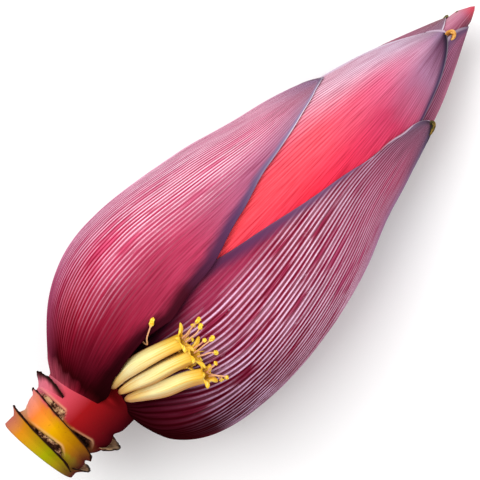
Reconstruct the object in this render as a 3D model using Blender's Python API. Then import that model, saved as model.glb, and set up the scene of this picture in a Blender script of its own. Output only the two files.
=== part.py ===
"""Banana blossom: a cut banana flower bud lying on its belly.

A stem with torn bract bases carries six leathery bracts wrapped round a closed young
bud. A hand of male florets shows under the edge of the outer left bract.

The bud is described in its own coordinates: s runs along its axis from the cut end of
the stem to the tip, r is the distance from that axis, and the angle is 0 on the side
that faces up, 90 degrees on the side that faces -Y and 180 degrees on the ground side.
"""
import math
from collections import namedtuple

import bmesh
import bpy
from mathutils import Matrix, Vector

MM = 0.001

# Driving dimensions
LENGTH = 262 * MM            # cut end of the stem to the end of the tip's curve
BELLY_RADIUS = 53 * MM
BELLY_S = 90 * MM            # where the bud is thickest
FLARE_LENGTH = 60 * MM       # from a bract's base to its full girth
TAPER_POWER = 1.6
BOW = 2.1 * MM               # the belly bulges sideways towards -Y
BOW_S = 128 * MM
BOW_SPREAD = 42 * MM
SLIM_BELLY = 0.033           # shares by which the +Y side is narrower than a round one
SLIM_SHOULDER = 0.045
SLIM_TIP = 0.055
SLIM_RIGHT = 0.04            # the same for the -Y side, at its shoulder only
PITCH_BELLY = 2.6 * MM       # distance between the outsides of two nested bracts
PITCH_SHOULDER = 1.0 * MM
PITCH_TIP = 0.8 * MM
NESTED_LAYERS = 3            # layers that end before the tip

# Bract sheets
FULL_ARC = 71.6 * MM         # half the width of a bract along its curve
ARC_LENGTH = 118.3 * MM      # distance from the tip at which it is that wide
ARC_POWER = 0.6
MAX_HALF_ANGLE = math.radians(79)
TIP_BLUNTNESS = 0.06 * MM
SHEET_GAP_BELLY = 0.55 * MM
SHEET_GAP_TIP = 0.3 * MM

# Stem
STEM_RADIUS = 17.8 * MM
NECK_RADIUS = 19.5 * MM
CORE_END = 58 * MM           # where the stalk inside the bud ends
CORE_END_RADIUS = 15.5 * MM
CUT_SLOPE = 0.093            # the cut end slants by this much across the stem
CUSHION_HEIGHT = 4.5 * MM    # the pad that carries the hand of florets
CUSHION_S = 38 * MM
CUSHION_ANGLE = math.radians(13)

# How it lies
PITCH_ANGLE = math.radians(9.5)   # the tip hangs lower than the stem
PRESSED = 0.7 * MM                # how far the back bract is pressed flat

FLORET_SIDES = 3             # bevel resolution of a floret's tube
THREAD_SIDES = 1             # bevel resolution of a stamen or a style

# depth and tip_tuck count nested layers, flare says how slowly it opens from its base,
# and point is the distance over which its tip narrows faster
Bract = namedtuple(
    "Bract", "base rise tip angle tip_angle width depth tip_tuck flare core edge point",
    defaults=[lambda s, across: 0.0, 0.1 * MM])


def ease(start, end, value):
    """Smooth step from 0 at start to 1 at end."""
    share = min(max((value - start) / (end - start), 0.0), 1.0)
    return share * share * (3 - 2 * share)


def blend(first, second, share):
    return first + (second - first) * share


def pitch(s):
    """Distance between nested bracts, which thin towards the tip."""
    outer = blend(PITCH_BELLY, PITCH_SHOULDER, ease(100 * MM, 195 * MM, s))
    return blend(outer, PITCH_TIP, ease(195 * MM, 245 * MM, s))


def girth(s):
    """Radius of the outermost surface from the belly on, and the belly's before it."""
    along = max(0.0, (s - BELLY_S) / (LENGTH - BELLY_S))
    plain = BELLY_RADIUS * (1 - min(along, 1.0) ** TAPER_POWER)
    return plain + NESTED_LAYERS * pitch(s) * ease(190 * MM, 225 * MM, s)


def core_radius(s):
    """Radius of the stem, its neck and the stalk inside the bud."""
    neck = blend(STEM_RADIUS, NECK_RADIUS, ease(14 * MM, 24 * MM, s))
    return blend(neck, CORE_END_RADIUS, ease(38 * MM, CORE_END, s))


def bump(value, middle, spread):
    """Bell curve that is 1 at the middle."""
    return math.exp(-((value - middle) / spread) ** 2)


def slim(s, side):
    """Share by which the bud is narrower than a round one, for side -1 (+Y) to 1 (-Y)."""
    left = SLIM_BELLY * bump(s, 56 * MM, 20 * MM) + SLIM_SHOULDER * ease(130 * MM, 160 * MM, s)
    left += SLIM_TIP * ease(165 * MM, 215 * MM, s)
    left *= 1 - ease(250 * MM, 259 * MM, s)
    return blend(left, SLIM_RIGHT * bump(s, 172 * MM, 14 * MM), (side + 1) / 2)


def place(s, radius, angle):
    """Bud coordinates to the bud's own frame, with its axis along +X."""
    side = math.sin(angle)
    bow = BOW * bump(s, BOW_S, BOW_SPREAD)
    return Vector((s, -radius * side * (1 - slim(s, side)) - bow, radius * math.cos(angle)))


def mesh_object(name, bm, colour, roughness=0.5):
    """Closed bmesh to a shaded object with its own material."""
    mesh = bpy.data.meshes.new(name)
    bm.to_mesh(mesh)
    bm.free()
    mesh.shade_smooth()
    mesh.set_sharp_from_angle(angle=math.radians(50))
    obj = bpy.data.objects.new(name, mesh)
    bpy.context.scene.collection.objects.link(obj)
    mesh.materials.append(make_material(name, colour, roughness))
    return obj


def make_material(name, colour, roughness):
    material = bpy.data.materials.new(name)
    material.use_nodes = True
    shader = material.node_tree.nodes["Principled BSDF"]
    shader.inputs["Base Color"].default_value = (*colour, 1.0)
    shader.inputs["Roughness"].default_value = roughness
    shader.inputs["Metallic"].default_value = 0.0
    return material


def make_slab(columns, rows):
    """Flat slab with x across (-1 to 1), y along (-1 to 1) and z inward (0 to 1).

    Inward is the mirror of up, so the faces are turned over to point out once bent.
    """
    bm = bmesh.new()
    bmesh.ops.create_grid(bm, x_segments=columns, y_segments=rows, size=1)
    grown = bmesh.ops.extrude_face_region(bm, geom=bm.faces[:])
    inner = [item for item in grown["geom"] if isinstance(item, bmesh.types.BMVert)]
    bmesh.ops.translate(bm, verts=inner, vec=(0, 0, 1))
    bmesh.ops.recalc_face_normals(bm, faces=bm.faces)
    bmesh.ops.reverse_faces(bm, faces=bm.faces)
    return bm


def make_sheet(name, outside, thickness, columns, rows, colour):
    """Closed sheet whose outside is outside(across, along) and that thickens inward."""
    bm = make_slab(columns, rows)
    step = 0.002
    for vert in bm.verts:
        across, along, layer = vert.co.x, (vert.co.y + 1) / 2, vert.co.z
        point = outside(across, along)
        if layer > 0.5:
            ahead, behind = min(along + step, 1.0), max(along - step, 0.0)
            side = outside(across + step, along) - outside(across - step, along)
            up = outside(across, ahead) - outside(across, behind)
            point -= side.cross(up).normalized() * thickness(across, along)
        vert.co = point
    return mesh_object(name, bm, colour)


# Bracts -------------------------------------------------------------------------------

def bract_depth(bract, s, angle):
    """How many layers below the outermost surface this bract lies."""
    tuck = bract.tip_tuck * ease(bract.tip - 22 * MM, bract.tip, s)
    return bract.depth(s, angle) + tuck


def bract_angles(bract, s):
    """Angle of the midrib and half the angle that the bract spans at s."""
    left = max(bract.tip - s, 0.0) + TIP_BLUNTNESS
    arc = bract.width * FULL_ARC * min(left / ARC_LENGTH, 1.0) ** ARC_POWER
    arc *= 1 - math.exp(-(left + 1 * MM) / bract.point)
    half = arc / (girth(s) - bract.depth(s, bract.angle) * pitch(s))
    belly = ease(60 * MM, 200 * MM, s)
    return blend(bract.angle, bract.tip_angle, belly), min(half, MAX_HALF_ANGLE)


def bract_outside(bract, across, along):
    """Point on the outside of a bract, for across -1 to 1 and along 0 to 1."""
    share = along * along * (3 - 2 * along)
    s_middle = blend(bract.base, bract.tip, share)
    middle, half = bract_angles(bract, s_middle)
    angle = middle + across * half + bract.edge(s_middle, across)
    rise = bract.rise * across * across
    s = s_middle + rise * (1 - share)
    full = girth(s) - bract_depth(bract, s, angle) * pitch(s)
    grown = min((s - bract.base - rise) / FLARE_LENGTH, 1.0)
    flare = max(1 - (1 - grown) ** 3, 0.0) ** bract.flare(angle)
    return place(s, blend(bract.core, full, flare), angle)


def bract_thickness(across, along, bract):
    """Full in the middle, thinner at the margins, the base and the tip."""
    share = along * along * (3 - 2 * along)
    s = blend(bract.base, bract.tip, share)
    gap = blend(SHEET_GAP_BELLY, SHEET_GAP_TIP, ease(100 * MM, 200 * MM, s))
    full = 0.9 * pitch(s) - gap
    margin = 1 - 0.45 * abs(across) ** 3
    ends = 1 - 0.5 * (1 - ease(0.0, 0.2, along)) - 0.3 * ease(0.9, 1.0, along)
    return full * margin * ends


def make_bract(name, bract, columns, rows, colour):
    return make_sheet(
        name,
        lambda across, along: bract_outside(bract, across, along),
        lambda across, along: bract_thickness(across, along, bract),
        columns, rows, colour)


def left_outer_depth(s, angle):
    """Raised along the edge that faces +angle, over the florets."""
    edge = ease(math.radians(-50), math.radians(4), angle)
    along = ease(34 * MM, 54 * MM, s) * (1 - ease(68 * MM, 124 * MM, s))
    return -1.0 * edge * along


def left_outer_edge(s, across):
    """The free edge draws back to let the florets out and leans over beyond them."""
    degrees = 10 * (1 - ease(31 * MM, 42 * MM, s)) + 1.0 * bump(s, 43 * MM, 4 * MM)
    degrees += 3.4 * bump(s, 104 * MM, 15 * MM) - 2.6 * bump(s, 61 * MM, 14 * MM)
    degrees -= 3.2 * ease(128 * MM, 150 * MM, s) * (1 - ease(176 * MM, 190 * MM, s))
    degrees -= 5 * ease(60 * MM, 200 * MM, s) * (1 - ease(187 * MM, 194.6 * MM, s))
    return math.radians(degrees) * max(across, 0.0) ** 4


def right_outer_edge(s, across):
    """The edge under the left bract reaches further round and runs straight to the tip."""
    degrees = -5.8 * ease(70 * MM, 104 * MM, s) * (1 - ease(122 * MM, 176 * MM, s))
    degrees += 3.3 * bump(s, 184 * MM, 11 * MM)
    degrees += 14 * ease(60 * MM, 200 * MM, s) * (1 - ease(198 * MM, 214 * MM, s))
    return math.radians(degrees) * max(-across, 0.0) ** 4


def middle_edge(s, across):
    """Its left edge draws in towards the tip and shows the bract below."""
    return math.radians(16) * ease(205 * MM, 240 * MM, s) * max(-across, 0.0) ** 4


def right_inner_edge(s, across):
    """Its left edge reaches further round, so that the tip of the bud comes out straight."""
    return -math.radians(26) * ease(222 * MM, 240 * MM, s) * max(-across, 0.0) ** 4


def right_outer_depth(s, angle):
    """One layer down where it passes under the left bract, else on the outside."""
    under = 1 - ease(math.radians(4), math.radians(44), angle)
    return under * blend(1.0, 0.15, ease(94 * MM, 150 * MM, s))


def right_outer_flare(angle):
    """Steep on its own side, slow under the florets."""
    return blend(2.8, 0.5, ease(math.radians(30), math.radians(56), angle))


def middle_depth(s, angle):
    return blend(2.0, 1.15, ease(95 * MM, 130 * MM, s))


def right_inner_depth(s, angle):
    return blend(2.9, 2.1, ease(95 * MM, 130 * MM, s)) + 0.2 * ease(195 * MM, 215 * MM, s)


def left_inner_depth(s, angle):
    return blend(3.85, 3.05, ease(95 * MM, 130 * MM, s)) + 0.15 * ease(195 * MM, 215 * MM, s)


BRACTS = {
    "left_outer": Bract(
        base=26 * MM, rise=6 * MM, tip=194.6 * MM, angle=math.radians(-76),
        tip_angle=math.radians(-66), width=1.0, depth=left_outer_depth, tip_tuck=0.3,
        flare=lambda angle: 1.4, core=20.9 * MM, edge=left_outer_edge, point=4.5 * MM),
    "right_outer": Bract(
        base=38 * MM, rise=8 * MM, tip=212.5 * MM, angle=math.radians(75),
        tip_angle=math.radians(61), width=1.0, depth=right_outer_depth, tip_tuck=0.35,
        flare=right_outer_flare, core=21.0 * MM, edge=right_outer_edge),
    "back": Bract(
        base=42.5 * MM, rise=6 * MM, tip=206 * MM, angle=math.radians(-150),
        tip_angle=math.radians(-140), width=0.9, depth=lambda s, angle: 1.05, tip_tuck=0.0,
        flare=lambda angle: 1.0, core=20.2 * MM),
    "middle": Bract(
        base=48 * MM, rise=6 * MM, tip=243.6 * MM, angle=math.radians(-11),
        tip_angle=math.radians(-12), width=0.75, depth=middle_depth, tip_tuck=0.9,
        flare=lambda angle: 3.0, core=19.4 * MM, edge=middle_edge),
    "right_inner": Bract(
        base=51 * MM, rise=6 * MM, tip=253 * MM, angle=math.radians(122),
        tip_angle=math.radians(112), width=0.85, depth=right_inner_depth, tip_tuck=0.8,
        flare=lambda angle: 3.4, core=18.6 * MM, edge=right_inner_edge),
    "left_inner": Bract(
        base=53.5 * MM, rise=4 * MM, tip=248.6 * MM, angle=math.radians(-60),
        tip_angle=math.radians(-80), width=0.85, depth=left_inner_depth, tip_tuck=0.0,
        flare=lambda angle: 3.6, core=18.0 * MM),
}


def make_bracts():
    return [
        make_bract("bract_left_outer", BRACTS["left_outer"], 16, 20, (0.55, 0.10, 0.20)),
        make_bract("bract_right_outer", BRACTS["right_outer"], 16, 20, (0.50, 0.09, 0.19)),
        make_bract("bract_back", BRACTS["back"], 14, 18, (0.45, 0.08, 0.16)),
        make_bract("bract_middle", BRACTS["middle"], 14, 18, (0.80, 0.10, 0.13)),
        make_bract("bract_right_inner", BRACTS["right_inner"], 16, 20, (0.35, 0.12, 0.19)),
        make_bract("bract_left_inner", BRACTS["left_inner"], 16, 20, (0.34, 0.20, 0.28)),
    ]


# Stem and young bud -------------------------------------------------------------------

def spin_profile(profile, sides):
    """Closed body turned round +X from (s, radius) points that start and end on it."""
    bm = bmesh.new()
    verts = [bm.verts.new((s, 0, radius)) for s, radius in profile]
    edges = [bm.edges.new(pair) for pair in zip(verts, verts[1:])]
    bmesh.ops.spin(bm, geom=verts + edges, axis=(1, 0, 0), cent=(0, 0, 0),
                   angle=2 * math.pi, steps=sides)
    bmesh.ops.remove_doubles(bm, verts=bm.verts, dist=1e-6)
    bmesh.ops.recalc_face_normals(bm, faces=bm.faces)
    return bm


def make_peduncle():
    """Stem, neck and the stalk inside the bud, with the pad that bears the florets."""
    stations = [0, 5, 10, 15, 20, 26, 32, 35, 38, 40, 42, 45, 50, 55]
    profile = [(0, 0)]
    profile += [(s * MM, core_radius(s * MM)) for s in stations]
    profile += [(CORE_END, CORE_END_RADIUS), (CORE_END, 0)]
    bm = spin_profile(profile, 32)
    for vert in bm.verts:
        s, radius = vert.co.x, math.hypot(vert.co.y, vert.co.z)
        angle = math.atan2(-vert.co.y, vert.co.z)
        if s > 1 * MM and radius > 1 * MM:
            round_it = bump(angle, CUSHION_ANGLE, math.radians(17))
            radius += CUSHION_HEIGHT * round_it * bump(s, CUSHION_S, 2.2 * MM)
        slant = -CUT_SLOPE * vert.co.y * (1 - ease(0, 12 * MM, s))
        vert.co = place(s, radius, angle)
        vert.co.x += slant
    return mesh_object("peduncle", bm, (0.60, 0.16, 0.12))


def heart_radius(s):
    """Closed young bud, which the inner bracts wrap."""
    depth = blend(4.8, 4.0, ease(95 * MM, 130 * MM, s))
    depth += 0.36 * ease(195 * MM, 215 * MM, s)
    depth -= 1.3 * ease(251 * MM, 256 * MM, s)
    grown = min((s - CORE_END) / FLARE_LENGTH, 1.0)
    flare = (1 - (1 - grown) ** 3) ** 3.8
    return blend(16 * MM, girth(s) - depth * pitch(s), flare)


def make_heart():
    start = CORE_END + 0.4 * MM
    stations = [start / MM, 64, 70, 77, 85, 94, 104, 115, 127, 140, 153, 166, 179, 191,
                202, 212, 222, 231, 239, 246, 251, 254, 256.5, 258.5, 260]
    profile = [(start, 0)]
    profile += [(s * MM, heart_radius(s * MM)) for s in stations]
    profile += [(261 * MM, 0)]
    bm = spin_profile(profile, 28)
    for vert in bm.verts:
        s, radius = vert.co.x, math.hypot(vert.co.y, vert.co.z)
        vert.co = place(s, radius, math.atan2(-vert.co.y, vert.co.z))
    return mesh_object("bud_heart", bm, (0.62, 0.16, 0.24))


# Torn bases of fallen bracts ----------------------------------------------------------

# tilt is how far its +angle horn is ahead of its middle, half the angle it spans each way
Stub = namedtuple("Stub", "base tilt height angle half flare")

STUBS = [
    Stub(base=1.6 * MM, tilt=0.0, height=5.4 * MM, angle=math.radians(-32),
         half=math.radians(86), flare=2.2 * MM),
    Stub(base=2.6 * MM, tilt=0.0, height=6.6 * MM, angle=math.radians(116),
         half=math.radians(60), flare=2.6 * MM),
    Stub(base=11.0 * MM, tilt=-1.5 * MM, height=7.2 * MM, angle=math.radians(-10),
         half=math.radians(84), flare=1.5 * MM),
    Stub(base=18.6 * MM, tilt=3.4 * MM, height=6.2 * MM, angle=math.radians(-72),
         half=math.radians(48), flare=3.2 * MM),
    Stub(base=16 * MM, tilt=0.0, height=9.0 * MM, angle=math.radians(118),
         half=math.radians(52), flare=3.4 * MM),
]


def stub_outside(stub, across, along):
    """Crescent that hugs the stem at its foot and stands off it at its torn rim."""
    crest = 0.3 + 0.7 * max(1 - abs(across) ** 3, 0.0)
    foot = stub.base + stub.tilt * across + 1.5 * MM * across * across
    s = foot + stub.height * crest * along
    angle = stub.angle + stub.half * across
    stand_off = stub.flare * crest * along ** 1.9
    return place(s, core_radius(s) + 1.5 * MM + stand_off, angle)


def make_stub(number, stub):
    return make_sheet(
        f"bract_stub_{number}",
        lambda across, along: stub_outside(stub, across, along),
        lambda across, along: (1.1 - 0.3 * along) * MM,
        12, 3, (0.40, 0.18, 0.10))


def make_stubs():
    return [make_stub(number, stub) for number, stub in enumerate(STUBS, start=1)]


# Florets ------------------------------------------------------------------------------

# Each row: s, sideways towards -Y, and height above the axis, in mm, base to mouth
FLORET_ROUTES = [
    [(42.6, 3.4, 26.2), (50, 3.0, 34.5), (58, 4.1, 43.0), (67.5, 6.8, 49.4), (77, 10.2, 53.0)],
    [(43.2, 7.0, 25.2), (50, 8.6, 31.8), (58, 11.2, 39.0), (67.5, 14.0, 45.6), (76.2, 17.4, 49.8)],
    [(42.8, 10.8, 23.6), (50, 14.4, 28.2), (58, 18.6, 34.8), (67, 22.4, 41.0), (73.8, 26.4, 45.6)],
    [(46, 4.6, 24.2), (54, 4.9, 30.9), (64, 7.2, 38.8), (74.5, 10.6, 45.2)],
    [(46, 8.4, 22.8), (54, 10.6, 28.1), (63, 13.4, 34.9), (72, 18.6, 42.2)],
    [(43.6, -1.2, 25.0), (50, -3.6, 32.2), (57, -5.2, 38.0), (64.5, -5.8, 42.6)],
]
FLORET_RADII = [
    [1.5, 2.7, 3.7, 3.7, 3.4],
    [1.5, 2.8, 3.8, 3.7, 3.4],
    [1.5, 2.8, 3.8, 3.7, 3.4],
    [1.1, 1.8, 2.1, 2.2],
    [1.1, 1.7, 2.0, 2.0],
    [1.5, 2.9, 3.4, 3.1],
]
TUBE_POINTS = 14
THREAD_POINTS = 9
THREAD_RADIUS = 0.4 * MM
HEAD_RADIUS = 0.9 * MM

# Each row: name, floret, then the thread's route in mm from the middle of its mouth
THREADS = [
    ("style_1", 1, [(0.9, -0.8, 0.9), (6, -0.8, 3.6), (12.2, -1.6, 4.4)]),
    ("stamen_1a", 1, [(0.8, 1.3, 0.5), (6, 1.8, 2.4), (11.0, 0.9, 2.8)]),
    ("stamen_1b", 1, [(0.9, 0.2, -0.9), (5, -0.4, 0.6), (8.6, -1.4, 0.6)]),
    ("style_2", 2, [(0.9, -0.4, 1.0), (6, 0.4, 3.8), (11.6, 0.5, 4.4)]),
    ("stamen_2a", 2, [(0.9, -1.6, 0.0), (4.5, -1.4, 2.0), (8.4, -0.6, 2.4)]),
    ("stamen_2b", 2, [(0.7, 1.6, 0.0), (4.5, 3.6, 1.8), (8.0, 6.4, 1.4)]),
    ("style_3", 3, [(0.9, -0.3, 1.1), (4.0, -0.2, 4.2), (7.2, -0.4, 5.4)]),
    ("stamen_3a", 3, [(0.6, 1.5, -0.3), (3.8, 4.2, 2.0), (5.6, 7.8, 0.6)]),
    ("stamen_3b", 3, [(1.0, 0.3, -1.0), (2.8, 3.4, -0.8), (3.2, 6.8, -3.2)]),
    ("stamen_4", 4, [(0.7, 0.2, 0.5), (3.6, 1.2, 1.8), (6.4, 2.6, 2.4)]),
    ("stamen_5", 5, [(0.6, 0.8, 0.2), (2.8, 1.8, 2.4), (5.2, 2.2, 4.8)]),
    ("style_6", 6, [(0.7, 1.6, 0.8), (1.5, 6.4, 4.9), (2.3, 6.8, 7.9), (4.5, 4.6, 11.6),
                    (11.6, 1.2, 13.8)]),
]


def smooth_route(points, count):
    """Catmull-Rom curve through the given points, as count + 1 vectors."""
    first, last = points[0] * 2 - points[1], points[-1] * 2 - points[-2]
    held = [first, *points, last]
    spans = len(points) - 1
    route = []
    for index in range(count + 1):
        at = index / count * spans
        span = min(int(at), spans - 1)
        t = at - span
        a, b, c, d = held[span:span + 4]
        route.append(0.5 * (2 * b + (c - a) * t + (2 * a - 5 * b + 4 * c - d) * t ** 2
                            + (3 * b - a - 3 * c + d) * t ** 3))
    return route


def make_tube(name, route, radii, sides, colour):
    """Tube with flat ends along a route, its radius given at every point."""
    curve = bpy.data.curves.new(name, "CURVE")
    curve.dimensions = "3D"
    curve.bevel_depth = 1.0
    curve.bevel_resolution = sides
    curve.use_fill_caps = True
    spline = curve.splines.new("POLY")
    spline.points.add(len(route) - 1)
    for point, at, radius in zip(spline.points, route, radii):
        point.co = (*at, 1.0)
        point.radius = radius
    curve.materials.append(make_material(name, colour, 0.45))
    obj = bpy.data.objects.new(name, curve)
    bpy.context.scene.collection.objects.link(obj)
    return obj


def route_from(rows):
    return [Vector((s * MM, -side * MM, height * MM)) for s, side, height in rows]


def make_florets():
    florets = []
    for number, (rows, radii) in enumerate(zip(FLORET_ROUTES, FLORET_RADII), start=1):
        route = smooth_route(route_from(rows), TUBE_POINTS)
        stops = smooth_route([Vector((radius * MM, 0, 0)) for radius in radii], TUBE_POINTS)
        widths = [stop.x for stop in stops]
        florets.append(make_tube(f"floret_{number}", route, widths, FLORET_SIDES,
                                 (0.85, 0.72, 0.32)))
    return florets


def make_threads():
    """Stamens and styles: thin stalks that end in a thicker head."""
    threads = []
    for name, floret, rows in THREADS:
        mouth = route_from(FLORET_ROUTES[floret - 1])[-1]
        route = smooth_route([mouth + step for step in route_from(rows)], THREAD_POINTS)
        widths = [THREAD_RADIUS] * (len(route) - 2) + [HEAD_RADIUS, HEAD_RADIUS * 0.8]
        threads.append(make_tube(name, route, widths, THREAD_SIDES, (0.80, 0.55, 0.20)))
    return threads


# Assembly -----------------------------------------------------------------------------

def lay_down(objects):
    """Lower the tip, centre the bud over the origin and stand it on the ground."""
    turn = Matrix.Rotation(PITCH_ANGLE, 4, "Y")
    for obj in objects:
        obj.data.transform(turn)
    bpy.context.view_layer.update()
    graph = bpy.context.evaluated_depsgraph_get()
    points = []
    for obj in objects:
        seen = obj.evaluated_get(graph)
        mesh = seen.to_mesh()
        points += [vert.co.copy() for vert in mesh.vertices]
        seen.to_mesh_clear()
    low = Vector([min(point[axis] for point in points) for axis in range(3)])
    high = Vector([max(point[axis] for point in points) for axis in range(3)])
    middle = (low + high) / 2
    shift = Matrix.Translation((-middle.x, -middle.y, -low.z - PRESSED))
    for obj in objects:
        obj.data.transform(shift)


def press_flat(obj):
    """Cut the back bract flat where it lies on the ground."""
    bm = bmesh.new()
    bm.from_mesh(obj.data)
    cut = bmesh.ops.bisect_plane(
        bm, geom=bm.verts[:] + bm.edges[:] + bm.faces[:], plane_co=(0, 0, 0),
        plane_no=(0, 0, -1), clear_outer=True)
    rim = [item for item in cut["geom_cut"] if isinstance(item, bmesh.types.BMEdge)]
    bmesh.ops.contextual_create(bm, geom=rim)
    bm.to_mesh(obj.data)
    bm.free()


def main():
    for obj in list(bpy.data.objects):
        bpy.data.objects.remove(obj, do_unlink=True)
    bracts = make_bracts()
    pieces = [make_peduncle(), *make_stubs(), *bracts, make_heart(), *make_florets(),
              *make_threads()]
    lay_down(pieces)
    press_flat(bpy.data.objects["bract_back"])


main()
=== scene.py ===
"""Looks of a cut banana blossom that lies on its belly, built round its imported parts.

The bud is described along its own axis: s runs from the cut end of the stem to the tip,
the radius is taken from that axis, and the angle is 0 on the upper side and 90 degrees on
the side that faces -Y. LIE_DOWN then lowers the tip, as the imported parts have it.
"""
import math
from collections import namedtuple

import bmesh
import bpy
from mathutils import Matrix, Vector, noise


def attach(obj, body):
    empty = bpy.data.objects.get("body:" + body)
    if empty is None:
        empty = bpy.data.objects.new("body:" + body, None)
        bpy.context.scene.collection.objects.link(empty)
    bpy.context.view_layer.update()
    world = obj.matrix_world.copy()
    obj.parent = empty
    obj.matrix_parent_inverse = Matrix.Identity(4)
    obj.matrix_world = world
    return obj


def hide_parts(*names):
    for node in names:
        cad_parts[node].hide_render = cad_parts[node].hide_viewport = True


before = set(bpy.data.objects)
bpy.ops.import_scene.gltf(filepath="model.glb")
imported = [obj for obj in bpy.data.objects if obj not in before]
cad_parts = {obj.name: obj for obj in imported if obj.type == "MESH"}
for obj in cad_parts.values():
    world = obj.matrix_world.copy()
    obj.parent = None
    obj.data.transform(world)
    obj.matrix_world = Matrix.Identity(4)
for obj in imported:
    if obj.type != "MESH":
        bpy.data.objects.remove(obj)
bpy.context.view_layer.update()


# Stem ---------------------------------------------------------------------------------
# The stalk the bud grew on: juicy fibrous tissue in a waxy skin that goes from yellow at
# the cut to pink and crimson at the neck. It was sawn off square, and behind each rim
# that a fallen bract left on it there is a hollow scar.

MM = 0.001
LYING_PITCH = math.radians(9.5)
AXIS_TIP_S = 261 * MM

STEM_RADIUS = 17.8 * MM
NECK_RADIUS = 19.5 * MM
CORE_END = 58 * MM
CORE_END_RADIUS = 15.5 * MM
CUT_SLOPE = 0.093
CUSHION_HEIGHT = 4.5 * MM
CUSHION_S = 38 * MM
CUSHION_ANGLE = 13
STEM_SIDES = 180
STEM_STEP = 0.4 * MM
CUT_FACE_RADIUS = 17.3 * MM
CUT_FACE_END = 1.3             # how far along the stem, in mm, the sawn flesh reaches

Scar = namedtuple("Scar", "start end peak s lean width depth cork", defaults=[0.0])
Hollow = namedtuple("Hollow", "s spread angle half depth")

# Eye-shaped scars on the front, and a shallow corky one on the left: angles in degrees,
# then where they begin and how far that shifts along them, width and depth
SCARS = [
    Scar(start=-66, end=36, peak=16, s=6.2 * MM, lean=-0.6 * MM, width=4.2 * MM, depth=2.1 * MM),
    Scar(start=-80, end=-3, peak=-12, s=19.2 * MM, lean=-1.6 * MM, width=3.9 * MM,
         depth=2.2 * MM),
    Scar(start=-4, end=60, peak=40, s=16.6 * MM, lean=-0.4 * MM, width=3.6 * MM,
         depth=2.0 * MM),
    Scar(start=-124, end=-38, peak=-84, s=6.2 * MM, lean=1.4 * MM, width=3.4 * MM,
         depth=0.4 * MM, cork=1.4),
]
# Softer hollows behind the rims on the flanks, and under the ground side
HOLLOWS = [
    Hollow(s=9.3 * MM, spread=2.6 * MM, angle=-98, half=62, depth=1.7 * MM),
    Hollow(s=13.4 * MM, spread=2.6 * MM, angle=100, half=52, depth=2.3 * MM),
    Hollow(s=27.4 * MM, spread=2.3 * MM, angle=98, half=46, depth=1.7 * MM),
    Hollow(s=25.0 * MM, spread=1.9 * MM, angle=-112, half=52, depth=1.0 * MM),
]

tip_point = max((vert.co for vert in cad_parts["bud_heart"].data.vertices),
                key=lambda co: co.x)
lowered = Matrix.Rotation(LYING_PITCH, 4, "Y")
LIE_DOWN = Matrix.Translation(tip_point - lowered @ Vector((AXIS_TIP_S, 0, 0))) @ lowered


def ease(start, end, value):
    """Smooth step from 0 at start to 1 at end."""
    share = min(max((value - start) / (end - start), 0.0), 1.0)
    return share * share * (3 - 2 * share)


def blend(first, second, share):
    return first + (second - first) * share


def bump(value, middle, spread):
    """Bell curve that is 1 at the middle."""
    return math.exp(-((value - middle) / spread) ** 2)


def slim(s, side):
    """Share by which the bud is narrower than a round one, for side -1 (+Y) to 1 (-Y)."""
    left = 0.033 * bump(s, 56 * MM, 20 * MM) + 0.045 * ease(130 * MM, 160 * MM, s)
    left += 0.055 * ease(165 * MM, 215 * MM, s)
    left *= 1 - ease(250 * MM, 259 * MM, s)
    return blend(left, 0.04 * bump(s, 172 * MM, 14 * MM), (side + 1) / 2)


def place(s, radius, angle):
    """Bud coordinates to a point about the bud's own axis, which bows a little."""
    side = math.sin(angle)
    bow = 2.1 * MM * bump(s, 128 * MM, 42 * MM)
    return Vector((s, -radius * side * (1 - slim(s, side)) - bow, radius * math.cos(angle)))


def core_radius(s):
    """Radius of the stem, its neck and the stalk inside the bud."""
    neck = blend(STEM_RADIUS, NECK_RADIUS, ease(14 * MM, 24 * MM, s))
    return blend(neck, CORE_END_RADIUS, ease(38 * MM, CORE_END, s))


def wander(point, size, seed=0.0):
    """Smooth noise from about -1 to 1 that changes over the given size."""
    return noise.noise(Vector((point.x / size + seed, point.y / size, point.z / size)))


def turn_apart(angle, middle):
    """Signed degrees from middle to angle, the short way round."""
    return (angle - middle + 180) % 360 - 180


def scar_depth(s, angle):
    """Depth of the scars at a place, and how near it is to a scar's pale upper lip."""
    depth, lip = 0.0, 0.0
    for scar in SCARS:
        if scar.start < angle < scar.end:
            if angle < scar.peak:
                opening = ((angle - scar.start) / (scar.peak - scar.start)) ** 0.8
            else:
                opening = ease(scar.end, scar.peak, angle) ** 0.6
            begin = scar.s + scar.lean * (angle - scar.start) / (scar.end - scar.start)
            edge = begin + scar.width * opening
            inside = ease(begin - 2.5 * MM, begin - 0.5 * MM, s)
            inside *= 1 - ease(edge - 0.5 * MM, edge, s)
            depth += scar.depth * opening * inside
            lip += scar.cork * opening * inside
            lip += math.exp(-((s - edge - 0.4 * MM) / (0.5 * MM)) ** 2) * opening
    return depth, min(lip, 1.0)


def hollow_depth(s, angle):
    total = 0.0
    for hollow in HOLLOWS:
        share = turn_apart(angle, hollow.angle) / hollow.half
        if abs(share) < 1:
            along = math.exp(-((s - hollow.s) / hollow.spread) ** 2)
            total += hollow.depth * (1 - share * share) * along
    return total


def make_piece(name, bm, *finishes):
    """Lays a mesh down as the bud lies, pressed flat where it rests on the ground."""
    bm.transform(LIE_DOWN)
    for vert in bm.verts:
        vert.co.z = max(vert.co.z, 0.02 * MM)
    mesh = bpy.data.meshes.new(name)
    bm.to_mesh(mesh)
    bm.free()
    mesh.shade_smooth()
    for finish in finishes:
        mesh.materials.append(finish)
    piece = bpy.data.objects.new(name, mesh)
    bpy.context.scene.collection.objects.link(piece)
    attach(piece, "root")
    return piece


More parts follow.
